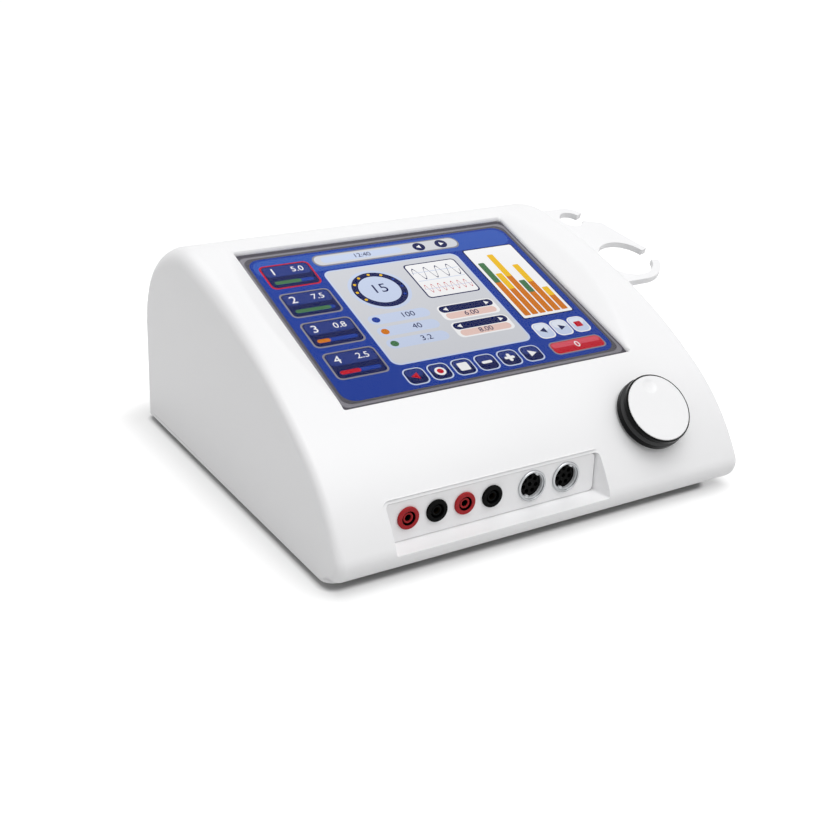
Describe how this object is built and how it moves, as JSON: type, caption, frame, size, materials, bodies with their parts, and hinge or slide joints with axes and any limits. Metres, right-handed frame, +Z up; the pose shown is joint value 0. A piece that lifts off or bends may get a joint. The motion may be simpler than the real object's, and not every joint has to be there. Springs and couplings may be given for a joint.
{
  "type": "ultrasound therapy device",
  "caption": "Table-top therapy unit with a sloping display deck, a dial, lead sockets in a front bay and a side plate that holds the treatment heads.",
  "frame": {"origin": "on the table, under the middle of the part's bounding box, the side plate and the dial's overhang included", "axes": "+X to the user's right, +Y from the nose to the back, +Z up"},
  "size_m": [0.3446, 0.296, 0.1399],
  "materials": {
    "white_shell": "moulded, satin gloss",
    "rear_metal": "brushed, clear anodised",
    "foot_rubber": "matte",
    "steel": "zinc plated",
    "foam": "matte foam",
    "screen_glass": "clear touch glass",
    "screen": "lit display",
    "dial_black": "satin black",
    "dark_plastic": "fine texture",
    "nickel": "nickel plated",
    "socket_red": "moulded",
    "socket_black": "moulded",
    "contact_brass": "machined",
    "board_green": "circuit board",
    "winding": "wound core"
  },
  "bodies": {
    "device": {"upper_housing": "white_shell", "base_tray": "white_shell", "rear_panel": "rear_metal", "rubber_feet": "foot_rubber", "housing_screws": "steel", "foot_screws": "steel", "rear_panel_screws": "steel", "display_gasket": "foam", "touch_glass": "screen_glass", "lcd_panel": "screen", "display_frame": "steel", "display_screws": "steel", "encoder_body": "dark_plastic", "encoder_nut": "nickel", "socket_panel": "white_shell", "socket_panel_screws": "steel", "red_sockets": "socket_red", "black_sockets": "socket_black", "socket_contacts": "contact_brass", "socket_nuts": "nickel", "connector_shells": "nickel", "connector_inserts": "socket_black", "connector_nuts": "nickel", "head_holder": "white_shell", "holder_screws": "steel", "holder_nuts": "steel", "main_board": "board_green", "processor_module": "board_green", "stimulation_board": "board_green", "output_transformers": "winding", "ultrasound_board": "board_green", "heat_sink": "rear_metal", "power_supply": "board_green", "mains_transformer": "winding", "board_spacers": "contact_brass", "board_screws": "steel", "speaker": "dark_plastic", "mains_inlet": "dark_plastic", "inlet_pins": "nickel", "inlet_screws": "steel", "switch_frame": "dark_plastic", "rocker_pin": "steel"},
    "dial": {"dial_body": "dial_black", "dial_cap": "white_shell", "dial_shaft": "steel"},
    "rocker": {"switch_rocker": "dark_plastic"}
  },
  "joints": [
    {"name": "dial_turn", "type": "hinge", "parent": "device", "child": "dial", "pos_m": [0.06079, -0.12336, 0.05527], "axis": [0, -0.7208, 0.6931], "continuous": true},
    {"name": "power_switch", "type": "hinge", "parent": "device", "child": "rocker", "pos_m": [0.00519, 0.13894, 0.038], "axis": [1, 0, 0], "range_deg": [0, 16]}
  ]
}
